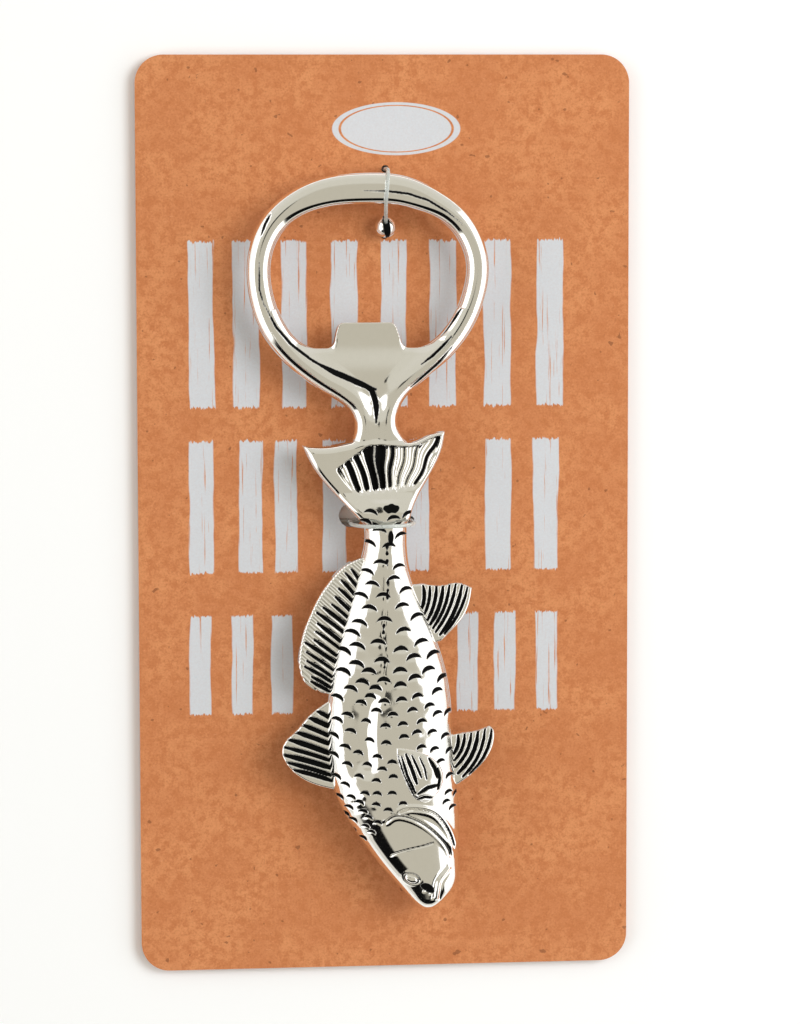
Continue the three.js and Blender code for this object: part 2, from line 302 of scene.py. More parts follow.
def smooth_max(a, b, r):
    return -smooth_min(-a, -b, r)


def smoothstep(x, low, high):
    u = np.clip((x - low) / (high - low), 0, 1)
    return u * u * (3 - 2 * u)


def dark_mask(gap, soft=0.8):
    """The black mask for a signed distance from its edge: half there, and more inside."""
    return 0.5 - gap / soft


def rounded(a, b, r):
    """Both a and b below 0, with a rounded edge of radius r between them."""
    qa, qb = np.maximum(a + r, 0), np.maximum(b + r, 0)
    return np.hypot(qa, qb) + np.minimum(np.maximum(a + r, b + r), 0) - r


def gradient(field, p, e=0.004):
    g = np.empty_like(p)
    for i in range(3):
        step = np.zeros(3)
        step[i] = e
        g[:, i] = (field(p + step) - field(p - step)) / (2 * e)
    return g


def settle(field, p, rounds=4, limit=0.3):
    """Moves points onto the field's zero surface."""
    for _ in range(rounds):
        f, g = field(p), gradient(field, p)
        step = -f / np.maximum((g * g).sum(1), 1e-9)
        move = g * step[:, None]
        size = np.linalg.norm(move, axis=1)
        p = p + move * np.minimum(1, limit / np.maximum(size, 1e-9))[:, None]
    return p


def sample(field, low, high, pitch, block=4):
    """Field values on a grid, worked out one by one only in the blocks that the surface may cross."""
    low = np.array(low, float)
    count = [int(math.ceil((h - l) / (pitch * block))) + 1 for l, h in zip(low, high)]
    middle = np.stack(np.meshgrid(*(np.arange(c) for c in count), indexing="ij"), -1).reshape(-1, 3)
    centre = field(low + (middle * block + (block - 1) / 2) * pitch).reshape(count)
    values = np.empty((count[0], block, count[1], block, count[2], block), np.float32)
    values[:] = centre[:, None, :, None, :, None]
    near = np.argwhere(np.abs(centre) < 1.5 * block * pitch)
    inner = np.stack(np.meshgrid(*[np.arange(block)] * 3, indexing="ij"), -1).reshape(-1, 3)
    for start in range(0, len(near), 4000):
        b = near[start:start + 4000]
        spots = low + (b[:, None, :] * block + inner[None]) * pitch
        found = field(spots.reshape(-1, 3)).reshape(-1, block, block, block)
        values[b[:, 0], :, b[:, 1], :, b[:, 2], :] = found
    return values.reshape([c * block for c in count])


def surface(field, low, high, pitch):
    """Vertices and quads of the zero surface of a field, found cell by cell."""
    values = sample(field, low, high, pitch)
    nx, ny, nz = values.shape
    inside = values < 0
    corner = [(i, j, k) for i in (0, 1) for j in (0, 1) for k in (0, 1)]
    count = sum(inside[i:nx - 1 + i, j:ny - 1 + j, k:nz - 1 + k].astype(np.int8) for i, j, k in corner)
    cells = np.argwhere((count > 0) & (count < 8))
    number = -np.ones((nx - 1, ny - 1, nz - 1), np.int32)
    number[tuple(cells.T)] = np.arange(len(cells))
    total = np.zeros((len(cells), 3))
    hits = np.zeros(len(cells))
    for a in corner:
        for axis in range(3):
            if a[axis]:
                continue
            b = tuple(1 if i == axis else a[i] for i in range(3))
            va = values[tuple((cells + a).T)]
            vb = values[tuple((cells + b).T)]
            cross = (va < 0) != (vb < 0)
            part = np.where(cross, va / np.where(cross, va - vb, 1), 0)
            spot = np.array(a, float)[None, :].repeat(len(cells), 0)
            spot[:, axis] += part
            total += spot * cross[:, None]
            hits += cross
    points = (cells + total / hits[:, None]) * pitch + np.array(low, float)
    quads = []
    for axis in range(3):
        u, v = (axis + 1) % 3, (axis + 2) % 3
        trim = [slice(1, -1)] * 3
        trim[axis] = slice(None)
        at = np.argwhere(np.diff(inside, axis=axis)[tuple(trim)])
        at[:, (u, v)] += 1
        ring = []
        for du, dv in ((1, 1), (0, 1), (0, 0), (1, 0)):
            cell = at.copy()
            cell[:, u] -= du
            cell[:, v] -= dv
            ring.append(number[tuple(cell.T)])
        quad = np.stack(ring, 1)
        flip = ~inside[tuple(at.T)]
        quad[flip] = quad[flip][:, ::-1]
        quads.append(quad)
    return points, np.vstack(quads)


def build(name, points, faces, material, body, replaced, normals=None, enamel_and_painted_dark=None):
    """A mesh piece from points in millimetres, with how much black each point carries: enamel, and in
    places painted dark reflection and shade.
    """
    mesh = bpy.data.meshes.new(name)
    mesh.from_pydata((points * MM).tolist(), [], [list(f) for f in faces])
    mesh.update()
    mesh.shade_smooth()
    if enamel_and_painted_dark is not None:
        layer = mesh.attributes.new("enamel_and_painted_dark", "FLOAT", "POINT")
        layer.data.foreach_set("value", enamel_and_painted_dark.astype(np.float32))
    if normals is not None:
        mesh.normals_split_custom_set_from_vertices(normals.tolist())
    mesh.materials.append(material)
    obj = bpy.data.objects.new(name, mesh)
    bpy.context.collection.objects.link(obj)
    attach(obj, body)
    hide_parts(*replaced)


# ---- the opener's shape (mm, z from its middle plane)

# The bar's middle line and half width, from the neck's left side round the ring to its right side.
BAR = Spline([
    [-4.72, 12, 2.15], [-4.72, 16.5, 2.12], [-4.9, 20.5, 2.1], [-6.8, 24.2, 2.2], [-12, 28, 2.35],
    [-19, 33.4, 2.45], [-23.9, 40, 2.5], [-26.1, 47.5, 2.45], [-26, 54, 2.45], [-23.1, 60.5, 2.6],
    [-17, 65.1, 2.85], [-10.5, 67, 3.1], [-4, 67.4, 3.2], [2.5, 67, 3.1], [9, 64.7, 2.8], [14.6, 60.8, 2.5],
    [18, 54.5, 2.35], [18.3, 48.5, 2.35], [15.9, 41, 2.35], [11.3, 34.6, 2.35], [5.6, 29.6, 2.2],
    [1.4, 25.2, 2.1], [-0.1, 20.5, 2.05], [-0.28, 16.5, 2.12], [-0.28, 12, 2.15]])
BAR_HEIGHT = 2.5
NECK_CUT = 18.5  # where the ring's casting meets the tail's
BODY_CUT = 1.0  # where the tail's casting meets the body's

NECK_LEFT = Profile((14, -7.9), (16, -7.4), (18, -6.6), (20.5, -6.2), (23, -6.4), (26, -8.5))
NECK_RIGHT = Profile((14, 4.6), (16, 3.6), (18, 2.3), (20.5, 1.4), (23, 1.2), (26, 2.6))
NECK_THICK = Profile((14, 2.45), (18, 2.45), (20, 2.35), (23, 1.7), (27, 0.9))


def section(across, high, power):
    return (np.abs(across) ** power + np.abs(high) ** power) ** (1 / power) - 1


def bar_field(p):
    d, t = BAR.side(p[:, :2])
    half = BAR(t)[:, 2]
    power = 2.0 + 1.0 * smoothstep(half, 2.6, 3.05)
    return section(d / half, p[:, 2] / BAR_HEIGHT, power) * half


def neck_field(p):
    x, y, z = p.T
    side = np.maximum(NECK_LEFT(y) - x, x - NECK_RIGHT(y))
    side = np.maximum(side, y - 27)
    return rounded(side, np.abs(z) - NECK_THICK(y), 2.0)


def head_field(p):
    return smooth_max(smooth_min(bar_field(p), neck_field(p), 0.9), 14.9 - p[:, 1], 0.6)


TAIL_LEFT = Profile((-3, -4.6), (-1, -5.6), (1.5, -7.6), (5.8, -11.6), (10.2, -15.1), (15.2, -17.6))
TAIL_RIGHT = Profile((-3, 3.6), (0, 4.2), (2.5, 5), (5, 6.2), (10, 9.1), (14, 10.9), (18, 11.7))
TAIL_TOP = Profile(
    (-17.8, 15.2), (-12, 15), (-8, 15.7), (-2, 16.2), (4, 15.8), (5.5, 16), (8, 17.2), (11.6, 18))
TAIL_HALF = 2.8
FAN_ROOT = np.array([-0.6, -5.5])
FAN_RAYS = 10
FAN_ANGLE = math.radians(72)


def tail_edges(x, y):
    left = (TAIL_LEFT(y) - x) / np.hypot(1, TAIL_LEFT.slope(y))
    right = (x - TAIL_RIGHT(y)) / np.hypot(1, TAIL_RIGHT.slope(y))
    top = (y - TAIL_TOP(x)) / np.hypot(1, TAIL_TOP.slope(x))
    return left, right, top


def fan(x, y):
    """How far into the fan's dish a place is, and the ray pattern there: 0 in a groove and 1 on a ray."""
    left, right, top = tail_edges(x, y)
    inner = 2.9 + 0.9 * smoothstep(y, 6, 14)
    dish = smoothstep(-left, inner, inner + 0.9) * smoothstep(-right, 0.6, 1.3) * smoothstep(-top, 0.7, 1.2)
    dish = dish * smoothstep(y - 0.1 * (x + 1), 5.2, 7.0)
    dish = dish * smoothstep((4.2 * (x + 10.4) - 5.7 * (y - 10.7)) / 7.1, -0.2, 0.7)
    angle = np.arctan2(x - FAN_ROOT[0], y - FAN_ROOT[1]) + 0.012 * np.sin(y * 0.8 + x * 0.5)
    wave = angle * FAN_RAYS / FAN_ANGLE
    ray = 0.5 + 0.5 * np.cos(2 * math.pi * wave)
    fine = 0.5 + 0.5 * np.cos(2 * math.pi * (2 * wave + 0.3))
    ray = np.where(x > 1.5, 0.72 * ray + 0.28 * fine, ray)
    return dish, ray


def fan_relief(p, n):
    """Black enamel between the fan's rays, with painted dark reflection that makes it heaviest left of its
    middle, and scales on its root.
    """
    x, y = p[:, 0], p[:, 1]
    facing = smoothstep(np.abs(n[:, 2]), 0.3, 0.6)
    dish, ray = fan(x, y)
    turn = np.degrees(np.arctan2(x - FAN_ROOT[0], y - FAN_ROOT[1]))
    # painted dark reflection: the black between the rays is made deeper left of the fan's middle, over the
    # enamel
    depth = 0.12 + 0.46 * smoothstep(turn, -35, -31) * smoothstep(turn, -10, -13)
    depth += 0.85 * smoothstep(turn, -14, -12) * smoothstep(turn, 2.0, -0.5)
    depth += 0.14 * smoothstep(turn, 0, 2) * smoothstep(turn, 9, 6) + 0.2 * smoothstep(turn, 19, 22)
    ink = 0.5 + 1.0 * (depth - ray) - 3.0 * (1 - smoothstep(dish, 0.4, 0.8))
    mark, dome = scale_marks(x, y)
    low = y < 4.5
    height = np.where(low, 0.06 * dome - 0.2 * (1 - smoothstep(mark, -0.22, 0.1)), 0.0)
    ink = np.where(low, dark_mask(mark - 0.05), ink)
    patch = np.hypot((x - 0.3) / 1.7, (y - 2.3 - 0.1 * np.sin(4 * x)) / 0.95)
    ink = np.maximum(ink, 0.5 + 1.3 * (1 - patch))
    return height * facing, np.clip(ink, 0, 1) * (facing > 0.3)


def tail_field(p):
    x, y, z = p.T
    left, right, top = tail_edges(x, y)
    side = smooth_max(smooth_max(left, right, 0.5), top, 0.5)
    sunk = smoothstep(y, 0.5, -3.0)
    side = np.maximum(side + 0.8 * sunk, -3.4 - y)
    dish, ray = fan(x, y)
    root = 1.1 * smoothstep(6 - y, 0, 5)
    front = TAIL_HALF + root - 2.0 * sunk - dish * (1.15 - 0.8 * ray**0.8)
    rear = TAIL_HALF + 0.7 * root - 2.0 * sunk
    high = np.where(z > 0, z - front, -z - rear)
    return rounded(side, high, 1.5)


BODY_LEFT = Profile(
    (4, -6.4), (1, -5.6), (-4, -4.9), (-10, -6.2), (-20, -9), (-30, -11.6), (-38, -12.7), (-48, -12.7),
    (-58, -10.8), (-66, -6.2), (-72, -1.8), (-77, 2.6), (-82, 7.2), (-86, 10.9))
BODY_RIGHT = Profile(
    (4, 4.4), (1, 4.1), (-4, 3.9), (-10, 4.4), (-20, 8), (-30, 11.5), (-38, 12.9), (-48, 13.4),
    (-58, 14.3), (-66, 14.5), (-72, 14.4), (-76.2, 13.9), (-80, 10.6), (-84, 7))
BODY_FRONT = Profile(
    (4, 3.8), (1, 3.9), (-4, 3.9), (-10, 4.1), (-20, 4.8), (-30, 5.8), (-38, 6.8), (-46, 7.4), (-54, 7.5),
    (-60, 7.2), (-66, 6.6), (-72, 5.8), (-77, 4.7), (-80, 3.9), (-84, 3))
BODY_REAR = Profile(
    (4, 3.3), (1, 3.4), (-4, 3.4), (-10, 3.7), (-20, 4.4), (-30, 4.9), (-38, 5.2), (-48, 5.2), (-58, 5.2),
    (-66, 4.9), (-72, 4.4), (-77, 3.6), (-80, 3.1), (-84, 2.4))
BODY_END = -81.7
# The exponent of the body's section: 2 is an ellipse, less is sharper at the edges, more is flatter.
BODY_POWER = Profile(
    (4, 2), (0, 1.8), (-6, 1.7), (-14, 1.7), (-22, 1.8), (-30, 1.9), (-38, 2), (-50, 2.1), (-62, 2.3),
    (-84, 2.5))


def body_field(p):
    x, y, z = p.T
    yc = np.maximum(y, -83.0)
    left, right = BODY_LEFT(yc), BODY_RIGHT(yc)
    half = np.maximum((right - left) / 2, 0.6)
    deep = np.where(z > 0, BODY_FRONT(yc), BODY_REAR(yc))
    f = section((x - (left + right) / 2) / half, z / deep, BODY_POWER(yc)) * np.minimum(half, deep)
    f = smooth_max(f, BODY_END - y, 3.2)
    return smooth_max(f, y - 3.5, 1.0)


def only_where(field, p, near):
    """A field worked out only where it can matter, and far away elsewhere."""
    f = np.full(len(p), 9.0)
    if near.any():
        f[near] = field(p[near])
    return f


def trunk_field(p):
    """Body, tail and neck grown together."""
    y = p[:, 1]
    f = only_where(tail_field, p, y > -6)
    f = smooth_min(f, only_where(body_field, p, y < 8), 0.9)
    return smooth_min(f, only_where(head_field, p, y > 11), 0.8)


PLATE_TOP = 40.2
PLATE_FRONT = Profile(
    (20, 1.2), (23, 1.6), (26, 1.85), (29, 1.85), (32, 1.6), (35, 1.28), (38, 1.1), (42, 1.05))
PLATE_REAR = -1.5
TONGUE_LEFT = Profile((34, -11.6), (36, -11), (38, -10.6), (40.2, -9.9))
TONGUE_RIGHT = Profile((34, 3.6), (36, 2.8), (38, 2.2), (40.2, 1.3))
NOTCH_EDGE = 35.0


def plate_field(p):
    """The cap lifter: a flat tongue between two notches, run smoothly into the bars and the neck."""
    x, y, z = p.T
    inner, t = BAR.side(p[:, :2])
    tongue = smooth_max(np.maximum(TONGUE_LEFT(y) - x, x - TONGUE_RIGHT(y)), y - PLATE_TOP, 1.0)
    base = smooth_min(y - NOTCH_EDGE, -inner - 1.5, 2.6)
    flat = smooth_min(tongue, base, 1.5)
    bevel = 0.4 * smoothstep(base, -1.2, 0.1) * smoothstep(tongue, -0.6, 0.6) * smoothstep(y, 37.5, 36.0)
    plate = rounded(flat, np.maximum(z - PLATE_FRONT(y) + bevel, PLATE_REAR - z), 0.16)
    plate = plate + 1.1 * smoothstep(y, 28.5, 20.6)
    grown = smooth_min(plate, bar_field(p), 2.2) + 0.03
    return np.maximum(np.maximum(grown, inner - 0.8), np.maximum(20.5 - y, y - 43.0))


def metal(name):
    """Polished plating, turned black where the piece's mask says so: enamel, and in places painted dark
    reflection and shade.
    """
    material, n, place, shader = new_material(name)
    smooth = n.step(n.noise(place, 60.0), 0.3, 0.7, 0.07, 0.11)
    plated = n.mix(n.noise(place, 900.0, 3.0), (0.93, 0.915, 0.875, 1), (0.965, 0.95, 0.915, 1))
    # the black mask: enamel, and in places painted dark reflection and shade
    mask = n.add("ShaderNodeAttribute", attribute_name="enamel_and_painted_dark").outputs["Fac"]
    rough = n.times(n.minus(n.noise(place, 2600.0), 0.5), 0.16)
    edge = n.step(n.plus(mask, rough), 0.44, 0.56)
    n.fill(shader, {
        "Base Color": n.mix(edge, plated, (0.005, 0.005, 0.005, 1)),
        "Metallic": n.minus(1.0, edge),
        "Roughness": n.plus(smooth, n.times(edge, 0.22)),
        "Specular IOR Level": 0.02})
    return material


def cut(points, faces, at, keep_above):
    """The closed mesh's part above or below a place along Y, closed again with a flat face."""
    bm = bmesh.new()
    verts = [bm.verts.new(p) for p in points]
    for f in faces:
        if len(set(f)) == len(f):
            bm.faces.new([verts[i] for i in f])
    away = (0.0, 1.0 if keep_above else -1.0, 0.0)
    made = bmesh.ops.bisect_plane(bm, geom=bm.verts[:] + bm.edges[:] + bm.faces[:], dist=1e-4,
                                  plane_co=(0.0, at, 0.0), plane_no=away, clear_inner=True)
    edge = [e for e in made["geom_cut"] if isinstance(e, bmesh.types.BMEdge)]
    bmesh.ops.holes_fill(bm, edges=edge, sides=0)
    bmesh.ops.triangulate(bm, faces=[f for f in bm.faces if len(f.verts) > 4])
    bm.verts.index_update()
    points = np.array([v.co[:] for v in bm.verts])
    faces = [[v.index for v in f.verts] for f in bm.faces]
    bm.free()
    return points, faces


def unit(v):
    return v / np.maximum(np.linalg.norm(v, axis=1), 1e-9)[:, None]


def casting(name, node, field, low, high, pitch, relief=None, cuts=()):
    """One solid piece of the opener from its field, cut flat at each (place, keep_above) along Y.

    relief gives a height along the normal and a black mask (enamel, and in places painted dark reflection
    and shade) for any points and normals.
    """
    points, faces = surface(field, low, high, pitch)
    points = settle(field, points)
    faces = faces.tolist()
    for at, keep_above in cuts:
        points, faces = cut(points, faces, at, keep_above)
    normals = unit(gradient(field, points))
    enamel_and_painted_dark = np.zeros(len(points))
    if relief:
        height, enamel_and_painted_dark = relief(points, normals)
        helper = np.where(np.abs(normals[:, :1]) > 0.8, (0.0, 1.0, 0.0), (1.0, 0.0, 0.0))
        side = unit(np.cross(normals, helper))
        up = np.cross(normals, side)
        tilted = normals
        step = 0.03
        for way in (side, up):
            rise = relief(points + step * way, normals)[0] - relief(points - step * way, normals)[0]
            tilted = tilted - (rise / (2 * step))[:, None] * way
        points = points + normals * height[:, None]
        normals = unit(tilted)
    points = points + np.array([0, 0, MID])
    build(name, points, faces, plating, "opener", [node], normals=normals, enamel_and_painted_dark=enamel_and_painted_dark)


# ---- relief on the body


# Where each scale's crescent is (mm), from the tail to the gills.
SCALES = np.array([
    (-3.8, 1.8), (3.7, 1.3), (0.7, 0.5), (-4.8, -0.2), (-2, -2), (2.3, -3.1), (-4, -4.7),
    (-0.2, -5.1), (-1.9, -8.6), (1.8, -9.5), (-4.5, -10.5), (0.7, -11.9), (-3.5, -13), (3.2, -14.3),
    (-5.7, -15.4), (-1.4, -15.3), (-4.1, -17.9), (2.4, -17.5), (-1.2, -20.2), (5.5, -19.8), (-6.1, -20.9),
    (2.6, -22.5), (-7.5, -23), (-2.5, -24.8), (-6.6, -25.6), (6.3, -25), (-9.3, -26.7), (2, -26.3),
    (8.8, -27.6), (-6.8, -29.2), (-1.8, -28.4), (4.6, -27.9), (-9.4, -30.8), (-4.4, -30.6), (1.8, -30.5),
    (7.7, -30.6), (-5.8, -32.8), (-1.5, -32.4), (4.8, -32), (10.8, -32.5), (-8.1, -34.2), (-3.2, -34),
    (1.8, -33.4), (-10.7, -36.1), (-4.3, -35.7), (9.5, -35), (5.3, -35.8), (-6.3, -37), (-1.5, -36.7),
    (2, -36.4), (-8.9, -39.6), (-3.1, -38.6), (7.8, -37.9), (4.2, -38.6), (-10.8, -40.7), (-5.3, -40.8),
    (0.2, -39.4), (9.5, -39.6), (12, -39.6), (-8.4, -42.9), (-1.3, -41.7), (6.1, -41), (2.2, -41.4),
    (-11.5, -44), (-4.6, -44.7), (5.1, -43.2), (8.3, -43.3), (-9.4, -46.2), (-1.2, -45.2), (2.4, -44),
    (11.2, -44.4), (-7, -47.4), (6, -46.3), (8.8, -46.9), (-11.5, -48), (-3, -48.1), (12.2, -47.5),
    (-9, -49.8), (-5.1, -49.8), (-2, -50.6), (0, -49.2), (10.1, -49.5), (-11, -52.5),
    (-6.7, -52.2), (0.2, -52.2), (12.1, -52.6), (-9.3, -54), (-3.2, -53), (-5.4, -55.7), (-3, -55.7),
    (0, -55.6), (11.8, -56), (-10.4, -56.7), (-8.1, -56.6), (13.7, -56.4), (-6.5, -57.6),
    (-3.2, -58), (2.2, -57.8), (11.3, -57.9), (-8.5, -58.8), (-0.8, -59.1), (12.7, -59.2), (-9.1, -60.4),
    (-5.7, -59.5), (-4.7, -60.7), (-7.6, -61.5), (-2.8, -61.8), (-5.2, -62.7), (-7.6, -63.8),
    (-4, -63.9), (-5.6, -65.4)])
SCALE_WIDTH = Profile(
    (2, 2.7), (-10, 2.6), (-18, 2.9), (-30, 2.8), (-36, 2.2), (-44, 1.95), (-54, 1.75), (-66, 1.5))

GILL_INNER = Spline([
    (-1.8, -62.6), (0.4, -60.7), (3.5, -61), (7, -62.9), (10, -65.6), (11.8, -68), (12.6, -70.4)])
GILL_OUTER = Spline([
    (0.6, -60.3), (2.4, -59.4), (5, -59.3), (8.3, -60.2), (10.5, -62.3), (12.2, -65.3), (13.2, -68.6)])
CHEEK = Spline([(-0.6, -69.3), (2.5, -68), (6.5, -67.1), (9, -66.4)])
MOUTH = Spline([(12.4, -71.6), (11, -73.2), (9.9, -74.8), (9.6, -76.6), (9.3, -79)])
LATERAL = Spline([
    (-0.4, 0), (-0.6, -8), (-0.6, -16), (-1.5, -23), (-1.2, -28), (-2.3, -34), (-3.9, -40), (-4.1, -47),
    (-3.3, -56)])
EYE = np.array([4.2, -74.0])
EYE_TURN = math.radians(-22)
PAINTED_DARK_PATCH = np.array([7.6, -76.0])  # a black patch painted between eye and mouth: painted dark reflection and shade
PAINTED_DARK_PATCH_TURN = math.radians(-33)
NOSTRILS = ((6.8, -76.7), (8.2, -77.2))


def hump(x, wide):
    """A smooth hump of height 1 about 0."""
    return np.exp(-(x / wide) ** 2)


def turned(x, y, angle):
    return x * math.cos(angle) + y * math.sin(angle), y * math.cos(angle) - x * math.sin(angle)


def scale_marks(x, y):
    """Signed distance to the nearest scale's crescent, negative inside, and the scale's own height."""
    best, dome = np.full(len(x), 3.0), np.zeros(len(x))
    left, right = BODY_LEFT(SCALES[:, 1]), BODY_RIGHT(SCALES[:, 1])
    lean = (SCALES[:, 0] - (left + right) / 2) / ((right - left) / 2) * math.radians(24)
    size = SCALE_WIDTH(SCALES[:, 1]) / 2.9
    for (cx, cy), turn, big in zip(SCALES, lean, size):
        near = np.nonzero((np.abs(x - cx) < 3.6) & (np.abs(y - cy) < 3.6))[0]
        if not len(near):
            continue
        c, s = math.cos(turn), math.sin(turn)
        u = ((x[near] - cx) * c + (y[near] - cy) * s) / big
        v = (-(x[near] - cx) * s + (y[near] - cy) * c) / big + 0.45
        outer = np.hypot(u, v + 0.62) - 1.62
        thick = 0.2 + 0.28 * smoothstep(np.array(cy), -22, -36)
        inner = 3.2 - np.hypot(u, v + 2.75 + thick)
        best[near] = np.minimum(best[near], np.maximum(outer, inner) * big)
        dome[near] = np.maximum(dome[near], hump(u, 1.25) * hump(v + 0.75, 1.1))
    return best, dome


def beside(curve, x, y, reach):
    """Signed distance beside a curve, and how much of its effect is left near its ends."""
    d, live = np.full(len(x), 9.0), np.zeros(len(x))
    low, high = curve.points[:, :2].min(0) - reach, curve.points[:, :2].max(0) + reach
    near = (x > low[0]) & (x < high[0]) & (y > low[1]) & (y < high[1])
    if near.any():
        away, t = curve.side(np.stack([x[near], y[near]], 1))
        d[near] = away
        live[near] = smoothstep(t, 0, 0.08) * smoothstep(1 - t, 0, 0.08)
    return d, live


def body_relief(p, n):
    """Scales, lateral line, gill cover, cheek, mouth, eye, a painted patch of dark reflection and shade
    between eye and mouth, and nostrils, on the front and rear alike.
    """
    x, y = p[:, 0], p[:, 1]
    facing = smoothstep(np.abs(n[:, 2]), 0.18, 0.42)
    mark, dome = scale_marks(x, y)
    height = 0.085 * dome - 0.22 * (1 - smoothstep(mark, -0.22, 0.12))
    ink = dark_mask(mark - 0.05)

    d, live = beside(LATERAL, x, y, 9.0)
    hollow = smoothstep(y, -31, -38) * smoothstep(y, -56, -48) * smoothstep(x - BODY_LEFT(y), 1.8, 7.0)
    height -= hollow * live * (0.25 * smoothstep(d, 5.0, 0.0) + 0.9 * smoothstep(d, 1.5, -1.3))
    line = smoothstep(y, -34, -30) * (0.5 + 0.3 * np.sin(y * 1.9) + 0.35 * np.sin(y * 0.83 + 1))
    height -= live * line * 0.14 * hump(d, 0.3)
    dashes = dark_mask(np.abs(d) - 0.24 - 0.12 * np.sin(y * 4.3))
    ink = np.maximum(ink, dashes - 2 * (1 - live * smoothstep(line, 0.3, 0.6)))
    ink = np.maximum(ink, 0.5 + 1.0 * (1 - np.hypot((x - 0.2) / 0.6, (y + 3.6) / 1.4)))

    d, live = beside(GILL_INNER, x, y, 2.5)
    height += live * (0.22 * smoothstep(np.abs(d), 1.3, 0.3) - 0.4 * hump(d, 0.3))
    ink = np.maximum(ink, dark_mask(np.abs(d) - 0.13, 0.5) - 2 * (1 - live))
    d, live = beside(GILL_OUTER, x, y, 2.5)
    height += live * (0.3 * hump(np.abs(d) - 0.5, 0.45) - 0.25 * hump(d, 0.25))
    d, live = beside(CHEEK, x, y, 2.0)
    height -= live * 0.16 * hump(d, 0.22)
    ink = np.maximum(ink, dark_mask(np.abs(d) - 0.04, 0.5) - 2 * (1 - live))
    d, live = beside(MOUTH, x, y, 2.0)
    height += live * (0.22 * hump(d, 0.35) - 0.18 * hump(np.abs(d) - 0.75, 0.3))

    along, over = turned(x - EYE[0], y - EYE[1], EYE_TURN)
    away = np.hypot(along, over / 0.66)
    height += 0.08 * hump(away - 2.0, 0.4) - 0.12 * hump(away - 1.5, 0.25)
    ink = np.maximum(ink, 0.5 + 0.8 * (0.16 - np.abs(away - 1.52)) - smoothstep(over, 0.1, 0.7))
    # painted dark reflection and shade: a black patch between eye and mouth
    along, over = turned(x - PAINTED_DARK_PATCH[0], y - PAINTED_DARK_PATCH[1], PAINTED_DARK_PATCH_TURN)
    ink = np.maximum(ink, 0.5 + 0.9 * (1 - np.hypot(along / 1.7, (over + 0.08 * along**2) / 0.85)))
    for spot in NOSTRILS:
        height -= 0.3 * hump(np.hypot(x - spot[0], y - spot[1]), 0.25)
    return height * facing, np.clip(ink, 0, 1) * (facing > 0.3)


# ---- fins


class Outline:
    """A closed flat outline of smooth runs that meet at corners. Called for signed distance.

    Each run starts at the end of the one before it, and the first at the end of the last.
    """

    def __init__(self, *runs):
        pieces = []
        corner = runs[-1][-1]
        for run in runs:
            curve = Spline([corner] + run)
            pieces.append(curve(np.linspace(0, 1, 6 * len(run) + 6))[:-1])
            corner = run[-1]
        self.a = np.vstack(pieces)
        self.b = np.roll(self.a, -1, axis=0)

    def __call__(self, xy):
        best = np.full(len(xy), 1e9)
        inside = np.zeros(len(xy), bool)
        for a, b in zip(self.a, self.b):
            edge = b - a
            w = xy - a
            part = np.clip(w @ edge / max(edge @ edge, 1e-12), 0, 1)
            gap = w - part[:, None] * edge
            best = np.minimum(best, (gap**2).sum(1))
            crosses = (a[1] > xy[:, 1]) != (b[1] > xy[:, 1])
            level = a[0] + (xy[:, 1] - a[1]) * edge[0] / (edge[1] if edge[1] else 1e-12)
            inside ^= crosses & (xy[:, 0] < level)
        return np.where(inside, -1, 1) * np.sqrt(best)


def from_polyline(x, y, path):
    """Distance from a short open path, and how far along it each place is, 0 to 1."""
    best, along = np.full(len(x), 1e9), np.zeros(len(x))
    for i, (a, b) in enumerate(zip(path[:-1], path[1:])):
        ex, ey = b[0] - a[0], b[1] - a[1]
        t = np.clip(((x - a[0]) * ex + (y - a[1]) * ey) / (ex * ex + ey * ey), 0, 1)
        gap = np.hypot(x - a[0] - t * ex, y - a[1] - t * ey)
        nearer = gap < best
        best = np.where(nearer, gap, best)
        along = np.where(nearer, (i + t) / (len(path) - 1), along)
    return best, along


def groove_gap(x, y, grooves, start, end):
    """Signed distance to the nearest groove. Each end is (share of the width there, share of the run)."""
    nearest = np.full(len(x), 3.0)
    for path, half in grooves:
        gap, along = from_polyline(x, y, path)
        for (thin, reach), t in ((start, along), (end, 1 - along)):
            half = half * (thin + (1 - thin) * smoothstep(t, 0, reach))
        nearest = np.minimum(nearest, gap - half)
    return nearest


def rays(tips, roots, count, width, bend, seed, spare):
    """Grooves that run from one edge of a fin to its root: each is a short path and a half width."""
    chance = np.random.default_rng(seed)
    tips, roots = Spline(tips), Spline(roots)
    found = []
    for i in range(count):
        at = (i + 0.5) / count
        a = tips(np.array([at]))[0]
        b = roots(np.array([np.clip(at + chance.uniform(-0.01, 0.01), 0, 1)]))[0]
        a = a + (b - a) * chance.uniform(0.0, spare)
        side = np.array([-(b - a)[1], (b - a)[0]])
        middle = (a + b) / 2 + side * (bend + chance.uniform(-0.015, 0.015))
        steps = [(1 - t) ** 2 * a + 2 * t * (1 - t) * middle + t**2 * b for t in np.linspace(0, 1, 6)]
        found.append((steps, width * chance.uniform(0.85, 1.15)))
    return found


def groove_relief(grooves, depth, ribs=None):
    """Enamelled grooves, with a fine hatch of ribs over them if its lean, pitch and height are given."""
    def relief(p, n):
        x, y = p[:, 0], p[:, 1]
        facing = smoothstep(np.abs(n[:, 2]), 0.3, 0.7)
        nearest = groove_gap(x, y, grooves, (0.6, 0.3), (0.7, 0.2))
        height = -depth * (1 - smoothstep(nearest, -0.352, 0.16))
        if ribs:
            lean, pitch, tall = ribs
            over = x * math.sin(lean) + y * math.cos(lean)
            height += tall * np.cos(2 * math.pi * over / pitch + 1.2 * np.sin(over * 1.7))
        return height * facing, np.clip(dark_mask(nearest), 0, 1) * (facing > 0.5)
    return relief


FIN_HALF = 1.5


def fin_field(outline):
    def field(p):
        return rounded(outline(p[:, :2]), np.abs(p[:, 2]) - FIN_HALF, 0.5)
    return field


